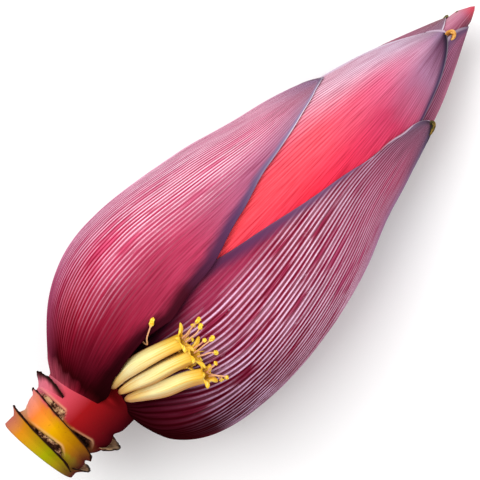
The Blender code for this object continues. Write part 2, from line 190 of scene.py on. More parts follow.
def dye(code):
    """Linear colour of a six-digit screen colour."""
    shades = [int(code[at:at + 2], 16) / 255 for at in (0, 2, 4)]
    linear = [((shade + 0.055) / 1.055) ** 2.4 if shade > 0.04 else shade / 12.92
              for shade in shades]
    return (*linear, 1.0)


class Finish:
    """A material being mixed. Every method adds a node and hands back what it gives."""

    def __init__(self, name, specular=0.25):
        self.material = bpy.data.materials.new(name)
        self.material.use_nodes = True
        self.tree = self.material.node_tree
        self.shader = self.tree.nodes["Principled BSDF"]
        self.shader.inputs["Specular IOR Level"].default_value = specular

    def add(self, kind, inputs, output=0, **settings):
        node = self.tree.nodes.new("ShaderNode" + kind)
        for setting, value in settings.items():
            setattr(node, setting, value)
        self.feed(node, inputs)
        return node.outputs[output]

    def feed(self, node, inputs):
        for socket, value in inputs.items():
            if isinstance(value, bpy.types.NodeSocket):
                self.tree.links.new(value, node.inputs[socket])
            else:
                node.inputs[socket].default_value = value

    def read(self, name, output="Vector"):
        """A value that the mesh carries at its vertices."""
        return self.add("Attribute", {}, output, attribute_name=name)

    def parts(self, vector):
        first = self.add("SeparateXYZ", {0: vector})
        return [first.node.outputs[axis] for axis in range(3)]

    def sums(self, operation, first, second=0.0, clamp=False):
        return self.add("Math", {0: first, 1: second}, operation=operation,
                        use_clamp=clamp)

    def span(self, value, start, end):
        """Smooth step of a value from 0 at start to 1 at end."""
        return self.add("MapRange", {0: value, 1: start, 2: end},
                        interpolation_type="SMOOTHSTEP")

    def stretch(self, vector, *scales):
        return self.add("VectorMath", {0: vector, 1: scales}, operation="MULTIPLY")

    def cloud(self, vector, detail=2.0, roughness=0.5):
        return self.add("TexNoise", {"Vector": vector, "Scale": 1.0, "Detail": detail,
                                     "Roughness": roughness})

    def ramp(self, value, stops):
        """Colours at the given values, blended between them."""
        low, high = stops[0][0], stops[-1][0]
        share = self.add("MapRange", {0: value, 1: low, 2: high})
        colours = self.add("ValToRGB", {0: share})
        band = colours.node.color_ramp
        for index, (at, code) in enumerate(stops):
            where = (at - low) / (high - low)
            if index == 0:
                stop = band.elements[0]
                stop.position = where
            elif index == len(stops) - 1:
                stop = band.elements[len(band.elements) - 1]
                stop.position = where
            else:
                stop = band.elements.new(where)
            stop.color = dye(code)
        return colours

    def mix(self, share, first, second, how="MIX"):
        return self.add("Mix", {0: share, 6: first, 7: second}, output=2,
                        data_type="RGBA", blend_type=how)

    def done(self, colour, roughness, height=None, bump=0.3):
        self.feed(self.shader, {"Base Color": colour, "Roughness": roughness})
        if height is not None:
            self.feed(self.shader, {"Normal": self.add(
                "Bump", {"Height": height, "Strength": bump, "Distance": 0.3 * MM})})
        return self.material


def mix_stem_skin():
    """Waxy skin, coloured by side (-1 facing +Y, 1 facing -Y) and length in mm, with painted shade
    on its underside.
    """
    skin = Finish("stem_skin", specular=0.0)
    side, length, up = skin.parts(skin.read("grain"))
    spot = skin.add("TexCoord", {}, "Object")
    drift = skin.cloud(skin.stretch(spot, 160, 260, 260), detail=3)
    length = skin.sums("ADD", length, skin.sums("MULTIPLY", skin.sums(
        "SUBTRACT", drift, 0.5), 5.0))
    cut_band = skin.ramp(side, [
        (-1.0, "b8685c"), (-0.6, "c88018"), (0.2, "929408"), (0.5, "988410"),
        (1.0, "5c1c28")])
    middle_band = skin.ramp(side, [
        (-1.0, "e08c80"), (-0.6, "e47c30"), (-0.1, "d09804"), (0.46, "a87008"),
        (1.0, "541424")])
    neck = skin.ramp(side, [
        (-1.0, "e07c90"), (-0.5, "cc4c5c"), (0.1, "901418"), (1.0, "400812")])
    colour = skin.mix(skin.span(length, 8.0, 10.5), cut_band, middle_band)
    colour = skin.mix(skin.span(length, 15.5, 20.0), colour, neck)
    # Painted shade: the underside of the stem is darkened towards dark crimson.
    under = skin.sums("MULTIPLY", skin.span(up, -0.1, -0.8), 0.65)
    colour = skin.mix(under, colour, dye("6e2438"))
    fibres = skin.cloud(skin.stretch(spot, 60, 900, 900), detail=3)
    colour = skin.mix(skin.sums("MULTIPLY", fibres, 0.35), colour, skin.mix(
        0.5, colour, dye("fff0dc"), "MULTIPLY"), "MIX")
    freckles = skin.span(skin.cloud(skin.stretch(spot, 900, 900, 900), detail=4), 0.62, 0.75)
    colour = skin.mix(skin.sums("MULTIPLY", freckles, 0.35), colour, dye("5a2018"))
    lip = skin.sums("MULTIPLY", skin.read("lip", "Fac"), 0.75)
    colour = skin.mix(lip, colour, dye("d8a87c"))
    scar = skin.read("scar", "Fac")
    pits = skin.cloud(skin.stretch(spot, 420, 420, 420), detail=5, roughness=0.65)
    shade = skin.sums("MULTIPLY", side, skin.span(length, 9.0, 14.0))
    hollow = skin.ramp(skin.sums("ADD", pits, skin.sums("MULTIPLY", shade, 0.18)), [
        (0.36, "e0bc8c"), (0.44, "a87c5c"), (0.5, "4c2c20"), (0.62, "180c0a")])
    colour = skin.mix(scar, colour, hollow)
    # Dark band below the rims of the torn bases: dried, and on one also painted shade.
    colour = skin.mix(skin.read("dried_and_shade", "Fac"), colour, dye("24120e"))
    roughness = skin.sums("ADD", 0.34, skin.sums("MULTIPLY", fibres, 0.25))
    return skin.done(colour, roughness, fibres, bump=0.25)


def mix_cut_face():
    """Sawn end: moist cream flesh with brown fibre ends, browned towards the skin."""
    face = Finish("stem_cut_face")
    spot = face.add("TexCoord", {}, "Object")
    depth = face.read("scar", "Fac")
    flesh = face.ramp(depth, [(0.0, "8a4a34"), (0.12, "c9a878"), (0.4, "e6d3a4"),
                              (0.75, "dcc79a"), (1.0, "c4a676")])
    cells = face.add("TexVoronoi", {"Vector": spot, "Scale": 620.0}, "Distance")
    strands = face.sums("SUBTRACT", 1.0, face.span(cells, 0.12, 0.3))
    flesh = face.mix(face.sums("MULTIPLY", strands, 0.6), flesh, dye("7c5030"))
    stain = face.span(face.cloud(face.stretch(spot, 180, 180, 180), detail=3), 0.5, 0.7)
    flesh = face.mix(face.sums("MULTIPLY", stain, 0.45), flesh, dye("9a6c3c"))
    return face.done(flesh, 0.5, cells, bump=0.5)


def make_stem():
    bm = bmesh.new()
    count = round(CORE_END / STEM_STEP)
    profile = [(1.2 * MM, 0), (0.8 * MM, 7 * MM), (0.3 * MM, 12 * MM), (0, 16 * MM),
               (0.1 * MM, CUT_FACE_RADIUS)]
    profile += [(at * STEM_STEP, core_radius(at * STEM_STEP)) for at in range(1, count + 1)]
    profile += [(CORE_END, 0)]
    verts = [bm.verts.new((s, 0, radius)) for s, radius in profile]
    edges = [bm.edges.new(pair) for pair in zip(verts, verts[1:])]
    bmesh.ops.spin(bm, geom=verts + edges, axis=(1, 0, 0), cent=(0, 0, 0),
                   angle=math.tau, steps=STEM_SIDES, use_merge=True)
    bmesh.ops.remove_doubles(bm, verts=bm.verts, dist=0.001 * MM)
    bmesh.ops.recalc_face_normals(bm, faces=bm.faces)
    grain = bm.verts.layers.float_vector.new("grain")
    scar = bm.verts.layers.float.new("scar")
    pale_lip = bm.verts.layers.float.new("lip")
    for vert in bm.verts:
        s, radius = vert.co.x, math.hypot(vert.co.y, vert.co.z)
        angle = math.atan2(-vert.co.y, vert.co.z)
        degrees = math.degrees(angle)
        vert[grain] = (math.sin(angle), s / MM, math.cos(angle))
        if radius > CUT_FACE_RADIUS - 0.1 * MM or s > 2 * MM and radius > 1 * MM:
            depth, lip = scar_depth(s, degrees)
            vert[scar] = ease(0.5 * MM, 1.2 * MM, depth)
            vert[pale_lip] = lip * 0.8
            cushion = turn_apart(degrees, CUSHION_ANGLE) / 17
            radius += CUSHION_HEIGHT * math.exp(
                -cushion ** 2 - ((s - CUSHION_S) / (2.2 * MM)) ** 2)
            lumps = wander(place(s, radius, angle), 9 * MM) * 0.25 * MM
            radius += lumps + 0.3 * MM * lip - depth - hollow_depth(s, degrees)
        else:
            vert[scar] = 1 - radius / CUT_FACE_RADIUS
        slant = -CUT_SLOPE * vert.co.y * (1 - ease(0, 12 * MM, s))
        vert.co = place(s, radius, angle)
        vert.co.x += slant
    for face in bm.faces:
        at_cut = all(vert[grain].y < CUT_FACE_END for vert in face.verts)
        reach = max(math.hypot(vert.co.y, vert.co.z) for vert in face.verts)
        if at_cut and reach < CUT_FACE_RADIUS + 0.2 * MM:
            face.material_index = 1
    return make_piece("stem", bm, stem_skin, mix_cut_face())


stem_skin = mix_stem_skin()
stem = make_stem()
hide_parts("peduncle")


# Torn bract bases ---------------------------------------------------------------------
# Each bract that fell tore off above its foot and left a crescent of its own base round
# the stem. The rim has dried to a dark thin edge, and on one the dark band reaches further
# down as painted shade; its inner side is pale and corky.

Stub = namedtuple("Stub", "base tilt height angle half flare burn", defaults=[0.7 * MM])

# Where each begins, how far its +angle horn is ahead of the middle, its height and spread,
# and how far down from the rim it is dark: dried, and on the fourth also painted shade
STUBS = [
    Stub(base=1.6 * MM, tilt=0.0, height=5.4 * MM, angle=-32, half=86, flare=2.2 * MM),
    Stub(base=2.6 * MM, tilt=0.0, height=6.6 * MM, angle=116, half=60, flare=2.6 * MM),
    Stub(base=11.0 * MM, tilt=-1.5 * MM, height=7.2 * MM, angle=-10, half=84, flare=1.5 * MM),
    # Its dark band reaches 3.4 mm down: the dried edge and painted shade.
    Stub(base=18.6 * MM, tilt=3.4 * MM, height=6.2 * MM, angle=-72, half=48, flare=3.2 * MM,
         burn=3.4 * MM),
    Stub(base=16 * MM, tilt=0.0, height=9 * MM, angle=118, half=52, flare=3.4 * MM),
]


def bend_sheet(columns, rows, outside, wall):
    """Closed sheet. outside(across, along) gives a point and its grain, wall a thickness.

    Extruding turns the first faces round, so these become the inner side.
    """
    bm = bmesh.new()
    bmesh.ops.create_grid(bm, x_segments=columns, y_segments=rows, size=1)
    grain = bm.verts.layers.float_vector.new("grain")
    thick = bm.verts.layers.float.new("wall")
    for vert in bm.verts:
        across, along = vert.co.x, (vert.co.y + 1) / 2
        vert[thick] = wall(across, along)
        vert.co, vert[grain] = outside(across, along)
    bm.normal_update()
    inner_verts, inner_faces = bm.verts[:], bm.faces[:]
    inward = [vert.normal * -vert[thick] for vert in inner_verts]
    bmesh.ops.extrude_face_region(bm, geom=inner_faces)
    for vert, step in zip(inner_verts, inward):
        vert.co += step
    for face in inner_faces:
        face.material_index = 1
    bm.verts.layers.float.remove(bm.verts.layers.float["wall"])
    return bm


def stub_crest(across):
    """Height of the torn rim, from the middle of the crescent to its horns."""
    return 0.3 + 0.7 * max(1 - abs(across) ** 3, 0.0)


def stub_outside(stub, seed, across, along):
    crest = stub_crest(across)
    ragged = 0.5 * MM * noise.noise(Vector((across * 9 + seed, 0.5, 0))) * along
    foot = stub.base + stub.tilt * across + 1.5 * MM * across * across
    s = foot + stub.height * crest * along + ragged
    angle = math.radians(stub.angle + stub.half * across)
    rim = 1.3 * MM + stub.flare * crest
    stand_off = blend(-0.5 * MM, rim, along ** 1.9)
    point = place(s, core_radius(s) + stand_off, angle)
    return point, (math.sin(angle), s / MM, math.cos(angle))


def mix_torn_flesh():
    """Corky inner side of a torn base: pale tan, pitted and stained brown."""
    cork = Finish("torn_flesh", specular=0.2)
    spot = cork.add("TexCoord", {}, "Object")
    pits = cork.cloud(cork.stretch(spot, 380, 520, 520), detail=5, roughness=0.6)
    colour = cork.ramp(pits, [(0.3, "e9cfa4"), (0.5, "d0aa7c"), (0.62, "9c6848"),
                              (0.75, "4c2a20")])
    # Dark band below the rim: dried, and on one torn base also painted shade.
    colour = cork.mix(cork.read("dried_and_shade", "Fac"), colour, dye("2e1812"))
    return cork.done(colour, 0.75, pits, bump=0.6)


def make_stub(number, stub):
    bm = bend_sheet(
        120, 18,
        lambda across, along: stub_outside(stub, number * 7.3, across, along),
        lambda across, along: blend(1.4, 0.45, along) * MM)
    dried_and_shade = bm.verts.layers.float.new("dried_and_shade")
    grain = bm.verts.layers.float_vector["grain"]
    for vert in bm.verts:
        side, length, up = vert[grain]
        across = turn_apart(math.degrees(math.atan2(side, up)), stub.angle) / stub.half
        across = min(max(across, -1.0), 1.0)
        rim = stub.base + stub.tilt * across + 1.5 * MM * across ** 2
        rim = rim + stub.height * stub_crest(across) - length * MM
        # How far the dark band reaches: the dried edge, widened on the fourth as painted shade.
        uneven = 0.9 + 0.7 * noise.noise(Vector((across * 6, number * 3.1, 0.7)))
        vert[dried_and_shade] = 1 - ease(0.3 * MM, stub.burn * max(uneven, 0.6), rim)
    piece = make_piece(f"torn_base_{number}", bm, stem_skin, torn_flesh)
    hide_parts(f"bract_stub_{number}")


torn_flesh = mix_torn_flesh()
for number, stub in enumerate(STUBS, start=1):
    make_stub(number, stub)


# Young bud ----------------------------------------------------------------------------
# The unopened heart of the bud: many young bracts wrapped into one cone, of which only
# the pink pointed end shows. It is turned smooth, with fine veins that run to its point.

LENGTH = 262 * MM
BELLY_RADIUS = 53 * MM
BELLY_S = 90 * MM
FLARE_LENGTH = 60 * MM
HEART_SIDES = 144
HEART_VEINS = 36


def pitch(s):
    """Distance between nested bracts, which thin towards the tip."""
    outer = blend(2.6 * MM, 1.0 * MM, ease(100 * MM, 195 * MM, s))
    return blend(outer, 0.8 * MM, ease(195 * MM, 245 * MM, s))


def girth(s):
    """Radius of the bud's outermost surface from the belly on."""
    along = max(0.0, (s - BELLY_S) / (LENGTH - BELLY_S))
    plain = BELLY_RADIUS * (1 - min(along, 1.0) ** 1.6)
    return plain + 3 * pitch(s) * ease(190 * MM, 225 * MM, s)


def heart_radius(s):
    depth = blend(4.8, 4.0, ease(95 * MM, 130 * MM, s))
    depth += 0.36 * ease(195 * MM, 215 * MM, s) - 1.3 * ease(251 * MM, 256 * MM, s)
    grown = min((s - CORE_END) / FLARE_LENGTH, 1.0)
    return blend(16 * MM, girth(s) - depth * pitch(s), (1 - (1 - grown) ** 3) ** 3.8)


def mix_young_skin():
    """Pink skin, redder on the side that faces -Y, with fine veins to the point."""
    skin = Finish("young_bract_skin", specular=0.03)
    side, length, up = skin.parts(skin.read("grain"))
    colour = skin.ramp(side, [(-1.0, "b8808f"), (-0.4, "b06c84"), (0.0, "98526a"),
                              (0.4, "7c344a"), (1.0, "642438")])
    colour = skin.mix(skin.sums("MULTIPLY", skin.span(length, 253, 260), 0.8), colour,
                      dye("c42838"))
    lines = skin.add("CombineXYZ", {0: skin.sums("MULTIPLY", side, 30.0),
                                    1: skin.sums("MULTIPLY", length, 0.05),
                                    2: skin.sums("MULTIPLY", up, 30.0)})
    veins = skin.cloud(lines, detail=3)
    colour = skin.mix(skin.sums("MULTIPLY", skin.span(veins, 0.45, 0.75), 0.4), colour,
                      dye("e0b0c0"))
    return skin.done(colour, 0.45, veins, bump=0.2)


def make_heart():
    bm = bmesh.new()
    start = CORE_END + 0.4 * MM
    stations = [start + (AXIS_TIP_S - start) * (step / 110) ** 0.8 for step in range(110)]
    profile = [(start, 0)] + [(s, heart_radius(s)) for s in stations] + [(AXIS_TIP_S, 0)]
    verts = [bm.verts.new((s, 0, max(radius, 0))) for s, radius in profile]
    edges = [bm.edges.new(pair) for pair in zip(verts, verts[1:])]
    bmesh.ops.spin(bm, geom=verts + edges, axis=(1, 0, 0), cent=(0, 0, 0),
                   angle=math.tau, steps=HEART_SIDES, use_merge=True)
    bmesh.ops.remove_doubles(bm, verts=bm.verts, dist=0.001 * MM)
    bmesh.ops.recalc_face_normals(bm, faces=bm.faces)
    grain = bm.verts.layers.float_vector.new("grain")
    for vert in bm.verts:
        s, radius = vert.co.x, math.hypot(vert.co.y, vert.co.z)
        angle = math.atan2(-vert.co.y, vert.co.z)
        vert[grain] = (math.sin(angle), s / MM, math.cos(angle))
        veins = 0.09 * MM * math.cos(HEART_VEINS * angle) * ease(1 * MM, 4 * MM, radius)
        radius += 0.9 * MM * bump(s, 252.5 * MM, 3 * MM) * ease(0.2, -0.5, math.sin(angle))
        vert.co = place(s, radius + veins, angle)
    return make_piece("young_bud", bm, mix_young_skin())


heart = make_heart()
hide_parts("bud_heart")


# Bracts -------------------------------------------------------------------------------
# Six leathery bracts, grown from the neck and wrapped over one another to the tip. Their
# outsides carry raised veins dusted with pale wax over crimson skin, the wax whitest on the
# belly where it is also painted highlight. Each margin has dried to a thin pale line, partly
# a painted glint, with a slate-coloured band beside it that along the left outer bract's
# free edge near the base is painted shadow.

# depth and tip_tuck count nested layers, flare says how slowly it opens from its base,
# and point is the distance over which its tip narrows faster
Bract = namedtuple(
    "Bract", "base rise tip angle tip_angle width depth tip_tuck flare core edge point",
    defaults=[lambda s, across: 0.0, 0.1 * MM])

FULL_ARC = 71.6 * MM
ARC_LENGTH = 118.3 * MM
VEIN_HEIGHT = 0.16 * MM
FLUTE_HEIGHT = 0.4 * MM


def left_outer_depth(s, angle):
    """Raised along the edge that faces +angle, over the florets."""
    along = ease(34 * MM, 54 * MM, s) * (1 - ease(68 * MM, 124 * MM, s))
    return -1.0 * ease(math.radians(-50), math.radians(4), angle) * along


def left_outer_edge(s, across):
    """The free edge draws back to let the florets out and leans over beyond them."""
    degrees = 10 * (1 - ease(31 * MM, 42 * MM, s)) + 1.0 * bump(s, 43 * MM, 4 * MM)
    degrees += 3.4 * bump(s, 104 * MM, 15 * MM) - 2.6 * bump(s, 61 * MM, 14 * MM)
    degrees -= 3.2 * ease(128 * MM, 150 * MM, s) * (1 - ease(176 * MM, 190 * MM, s))
    degrees -= 5 * ease(60 * MM, 200 * MM, s) * (1 - ease(187 * MM, 194.6 * MM, s))
    return math.radians(degrees) * max(across, 0.0) ** 4


def right_outer_edge(s, across):
    """The edge under the left bract reaches further round and runs straight to the tip."""
    degrees = -5.8 * ease(70 * MM, 104 * MM, s) * (1 - ease(122 * MM, 176 * MM, s))
    degrees += 3.3 * bump(s, 184 * MM, 11 * MM)
    degrees += 14 * ease(60 * MM, 200 * MM, s) * (1 - ease(198 * MM, 214 * MM, s))
    return math.radians(degrees) * max(-across, 0.0) ** 4


def middle_edge(s, across):
    """Its left edge draws in towards the tip and shows the bract below."""
    return math.radians(16) * ease(205 * MM, 240 * MM, s) * max(-across, 0.0) ** 4


def right_inner_edge(s, across):
    """Its left edge reaches further round, so that the tip of the bud comes out straight."""
    return -math.radians(26) * ease(222 * MM, 240 * MM, s) * max(-across, 0.0) ** 4


def right_outer_depth(s, angle):
    """One layer down where it passes under the left bract, else on the outside."""
    under = 1 - ease(math.radians(4), math.radians(44), angle)
    return under * blend(1.0, 0.15, ease(94 * MM, 150 * MM, s))


def inner_depth(belly, shoulder, tip):
    """Depth in layers of a wrapped bract at the belly, the shoulder and the tip."""
    return lambda s, angle: blend(belly, shoulder, ease(95 * MM, 130 * MM, s)) + (
        tip * ease(195 * MM, 215 * MM, s))


BRACTS = {
    "left_outer": Bract(
        base=26 * MM, rise=6 * MM, tip=194.6 * MM, angle=-76, tip_angle=-66, width=1.0,
        depth=left_outer_depth, tip_tuck=0.3, flare=lambda angle: 1.4, core=20.9 * MM,
        edge=left_outer_edge, point=4.5 * MM),
    "right_outer": Bract(
        base=38 * MM, rise=8 * MM, tip=212.5 * MM, angle=75, tip_angle=61, width=1.0,
        depth=right_outer_depth, tip_tuck=0.35, core=21.0 * MM, edge=right_outer_edge,
        flare=lambda angle: blend(2.8, 0.5, ease(30, 56, math.degrees(angle)))),
    "back": Bract(
        base=42.5 * MM, rise=6 * MM, tip=206 * MM, angle=-150, tip_angle=-140, width=0.9,
        depth=inner_depth(1.05, 1.05, 0), tip_tuck=0.0, flare=lambda angle: 1.0,
        core=20.2 * MM),
    "middle": Bract(
        base=48 * MM, rise=6 * MM, tip=243.6 * MM, angle=-11, tip_angle=-12, width=0.75,
        depth=inner_depth(2.0, 1.15, 0), tip_tuck=0.9, flare=lambda angle: 3.0,
        core=19.4 * MM, edge=middle_edge),
    "right_inner": Bract(
        base=51 * MM, rise=6 * MM, tip=253 * MM, angle=122, tip_angle=112, width=0.85,
        depth=inner_depth(2.9, 2.1, 0.2), tip_tuck=0.8, flare=lambda angle: 3.4,
        core=18.6 * MM, edge=right_inner_edge),
    "left_inner": Bract(
        base=53.5 * MM, rise=4 * MM, tip=248.6 * MM, angle=-60, tip_angle=-80, width=0.85,
        depth=inner_depth(3.85, 3.05, 0.15), tip_tuck=0.0, flare=lambda angle: 3.6,
        core=18.0 * MM),
}


def vein_lift(vein, s, veins):
    """Height of the raised veins, each stronger and weaker along its own length."""
    strength = 0.6 + 0.8 * noise.noise(Vector((round(vein) * 3.7, s / (16 * MM), veins)))
    return VEIN_HEIGHT * math.cos(math.tau * vein) * strength


def flute_lift(vein, s, veins):
    """Height of the broad soft flutes, which fade beyond the belly."""
    flutes = noise.noise(Vector((vein * 0.25, s / (75 * MM), veins + 9)))
    return FLUTE_HEIGHT * flutes * (0.35 + 0.65 * (1 - ease(60 * MM, 120 * MM, s)))


def margin_wave(across, s, rim, veins):
    """Unevenness of the outermost 3 mm of the margin."""
    wave = noise.noise(Vector((across * 3, s / (16 * MM), veins + 4)))
    return 0.35 * MM * wave * (1 - ease(0, 3 * MM, rim))


def bract_outside(bract, veins, across, along):
    """Point on a bract's veined outside, and its grain: vein number, s and rim in mm."""
    share = along * along * (3 - 2 * along)
    s_middle = blend(bract.base, bract.tip, share)
    left = max(bract.tip - s_middle, 0.0) + 0.06 * MM
    arc = bract.width * FULL_ARC * min(left / ARC_LENGTH, 1.0) ** 0.6
    arc *= 1 - math.exp(-(left + 1 * MM) / bract.point)
    reference = girth(s_middle) - bract.depth(s_middle, math.radians(bract.angle)) * pitch(s_middle)
    half = min(arc / reference, math.radians(79))
    middle = blend(bract.angle, bract.tip_angle, ease(60 * MM, 200 * MM, s_middle))
    middle = math.radians(middle)
    angle = middle + across * half + bract.edge(s_middle, across)
    rise = bract.rise * across * across
    s = s_middle + rise * (1 - share)
    tuck = bract.tip_tuck * ease(bract.tip - 22 * MM, bract.tip, s)
    full = girth(s) - (bract.depth(s, angle) + tuck) * pitch(s)
    grown = min((s - bract.base - rise) / FLARE_LENGTH, 1.0)
    flare = max(1 - (1 - grown) ** 3, 0.0) ** bract.flare(angle)
    radius = blend(bract.core, full, flare)
    rim = (1 - abs(across)) * half * radius
    share_left = left / ARC_LENGTH / (1 + (left / ARC_LENGTH) ** 3) ** (1 / 3)
    spread = bract.width * FULL_ARC * share_left ** 0.6 / reference
    vein = (angle - middle) / max(spread, 0.3) * veins / 2
    fade = ease(1.5 * MM, 5 * MM, rim) * ease(0.02, 0.1, along)
    close = min(half * reference / (veins / 2) / (1.6 * MM), 1.0)
    lift = (vein_lift(vein, s, veins) * close + flute_lift(vein, s, veins)) * fade
    lift += margin_wave(across, s, rim, veins) * ease(0.05, 0.2, along)
    sunk = 2.2 * MM * (1 - ease(0, 5 * MM, s - bract.base - rise))
    radius += min(lift, 0.8 * MM) * min(grown * 3, 1.0) - sunk
    return place(s, radius, angle), (vein, s / MM, rim / MM)


def bract_wall(bract, across, along):
    """Thickness: full in the middle, thin at the margins, the base and the tip."""
    s = blend(bract.base, bract.tip, along * along * (3 - 2 * along))
    full = 0.9 * pitch(s) - blend(0.55, 0.3, ease(100 * MM, 200 * MM, s)) * MM
    margin = (1 - 0.45 * abs(across) ** 3) * blend(1, 0.35, ease(0.93, 1.0, abs(across)))
    ends = 1 - 0.5 * (1 - ease(0.0, 0.2, along)) - 0.3 * ease(0.9, 1.0, along)
    return full * margin * ends


def mix_bract_skin(name, veins, marks, left, middle, right, bloom, dust_and_highlight, calm, slate_left,
                   slate_and_shadow_right, slate_and_shadow_width, rim_line, line_width=0.8):
    """Crimson skin under veins of pale wax.

    left, middle and right give the skin's colour along the bract at the three marks
    across it. bloom is the wax's colour along it, the ramp that follows how much of it there
    is, which on the belly is also painted highlight, and calm how much shows across it. The
    slate colours, which along the left outer bract's free edge near its base are painted
    shadow, as wide at the base and the tip as the pair of widths says, and the pale line,
    partly a painted glint, run along the margins.
    """
    skin = Finish(name, specular=0.0)
    grain = skin.read("grain")
    vein, length, rim = skin.parts(grain)
    length = skin.sums("ADD", length, skin.sums("MULTIPLY", skin.sums(
        "SUBTRACT", skin.cloud(skin.stretch(grain, 0.22, 0.1, 0), detail=3), 0.5), 6.0))
    across = skin.sums("MULTIPLY", vein, 2 / veins)
    flesh = skin.mix(skin.span(across, marks[0], marks[1]),
                     skin.ramp(length, left), skin.ramp(length, middle))
    flesh = skin.mix(skin.span(across, marks[1], marks[2]), flesh, skin.ramp(length, right))
    fibres = skin.cloud(skin.stretch(grain, 3.1, 0.05, 0), detail=3, roughness=0.6)
    flesh = skin.mix(skin.span(fibres, 0.35, 0.75), flesh, skin.mix(
        1.0, flesh, dye("c8a8b4"), "MULTIPLY"))
    bend = skin.cloud(skin.stretch(grain, 0.3, 0.03, 0))
    number = skin.sums("ADD", vein, skin.sums("MULTIPLY", bend, 0.12))
    wave = skin.sums("COSINE", skin.sums("MULTIPLY", number, math.tau))
    crest = skin.span(wave, 0.2, 0.85)
    shown = skin.ramp(across, calm)
    groove = skin.sums("MULTIPLY", skin.span(wave, 0.1, -0.9), shown)
    flesh = skin.mix(groove, flesh, skin.mix(1.0, flesh, dye("c07c90"), "MULTIPLY"))
    streaks = skin.cloud(skin.stretch(grain, 0.9, 0.03, 0), detail=3, roughness=0.6)
    crumbs = skin.cloud(skin.stretch(grain, 4.5, 0.9, 0), detail=3, roughness=0.7)
    patches = skin.cloud(skin.stretch(grain, 0.09, 0.022, 0), detail=3)
    # Amount of pale wax; where it is whitest, on the belly, it is also painted highlight, as the
    # skin is given no specular shine.
    amount = skin.sums("MULTIPLY", skin.ramp(length, dust_and_highlight), skin.add(
        "MapRange", {0: patches, 1: 0.3, 2: 0.7, 3: 0.45, 4: 1.4}))
    amount = skin.sums("MULTIPLY", amount, shown)
    on_crest = skin.sums("MULTIPLY", crest, skin.span(streaks, 0.36, 0.5))
    on_crest = skin.sums("MULTIPLY", on_crest, skin.add(
        "MapRange", {0: crumbs, 1: 0.3, 2: 0.55, 3: 0.55, 4: 1.0}))
    thin_film = skin.sums("MULTIPLY", skin.span(streaks, 0.42, 0.8), 0.3)
    wax_and_highlight = skin.sums("MAXIMUM", on_crest, thin_film)
    scuffs = skin.span(skin.cloud(skin.stretch(grain, 0.35, 0.16, 0.5), detail=5,
                                  roughness=0.7), 0.6, 0.72)
    wax_and_highlight = skin.sums("ADD", wax_and_highlight, skin.sums("MULTIPLY", scuffs, 0.3))
    wax_and_highlight = skin.sums("MULTIPLY", wax_and_highlight, amount, clamp=True)
    colour = skin.mix(wax_and_highlight, flesh, skin.ramp(length, bloom))
    worn = skin.cloud(skin.stretch(grain, 0.5, 0.11, 0.4), detail=3)
    width = skin.add("MapRange", {0: length, 1: left[0][0], 2: left[-1][0],
                                  3: slate_and_shadow_width[0], 4: slate_and_shadow_width[1]})
    border = skin.sums("SUBTRACT", 1.0, skin.span(
        rim, skin.sums("MULTIPLY", width, 0.3),
        skin.sums("MULTIPLY", skin.sums("ADD", worn, 0.6), width)))
    # Slate band along the margins, which along the left outer bract's free edge near the base is
    # near-black painted shadow.
    slate_and_shadow = skin.mix(skin.span(across, -0.05, 0.05), skin.ramp(length, slate_left),
                     skin.ramp(length, slate_and_shadow_right))
    colour = skin.mix(skin.sums("MULTIPLY", border, 0.9), colour, slate_and_shadow)
    # Thin pale line at the very margin: the dried edge, and partly a painted glint.
    line = skin.sums("SUBTRACT", 1.0, skin.span(rim, line_width * 0.3, line_width))
    line = skin.sums("MULTIPLY", line, skin.ramp(length, rim_line))
    colour = skin.mix(line, colour, dye("e4d4e0"))
    roughness = skin.sums("ADD", 0.4, skin.sums("MULTIPLY", wax_and_highlight, 0.3))
    return skin.done(colour, roughness, fibres, bump=0.25)


def mix_bract_lining():
    """Inner side of a bract: smooth dark crimson, a little glossy, paler at the margin."""
    lining = Finish("bract_lining")
    grain = lining.read("grain")
    fibres = lining.cloud(lining.stretch(grain, 1.4, 0.04, 0), detail=4)
    colour = lining.ramp(fibres, [(0.3, "5a0a18"), (0.5, "86142a"), (0.7, "a83048")])
    vein, length, rim = lining.parts(grain)
    colour = lining.mix(lining.span(rim, 3.0, 0.5), colour, dye("b49cb0"))
    return lining.done(colour, 0.35, fibres, bump=0.3)


def make_bract(name, veins, columns, rows, skin):
    bract = BRACTS[name]
    bm = bend_sheet(
        columns, rows,
        lambda across, along: bract_outside(bract, veins, across, along),
        lambda across, along: bract_wall(bract, across, along))
    piece = make_piece(f"bract_{name}_leaf", bm, skin, bract_lining)
    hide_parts(f"bract_{name}")
    return piece


bract_lining = mix_bract_lining()

# Stops are in mm along the bud, those of calm in shares across the bract
left_inner_leaf = make_bract("left_inner", 40, 160, 90, mix_bract_skin(
    "left_inner_skin", 40, (-0.6, 0.1, 0.7),
    left=[(130, "8c2c48"), (215, "b07088"), (250, "a08878")],
    middle=[(130, "8c2c48"), (210, "b8607c"), (235, "ac7890"), (250, "988480")],
    right=[(130, "8c2c48"), (210, "b04c70"), (235, "9a6a8a"), (250, "846c7c")],
    bloom=[(130, "d8b0c0"), (220, "d8c0cc"), (250, "c0b0b8")],
    dust_and_highlight=[(130, "808080"), (200, "b0b0b0"), (250, "909090")],
    calm=[(-1.0, "ffffff"), (1.0, "ffffff")],
    slate_left=[(130, "7e607c"), (250, "5c4858")],
    slate_and_shadow_right=[(130, "8a7890"), (240, "a898b4"), (250, "4c3c48")],
    slate_and_shadow_width=(1.2, 1.2),
    rim_line=[(130, "404040"), (250, "e0e0e0")]))

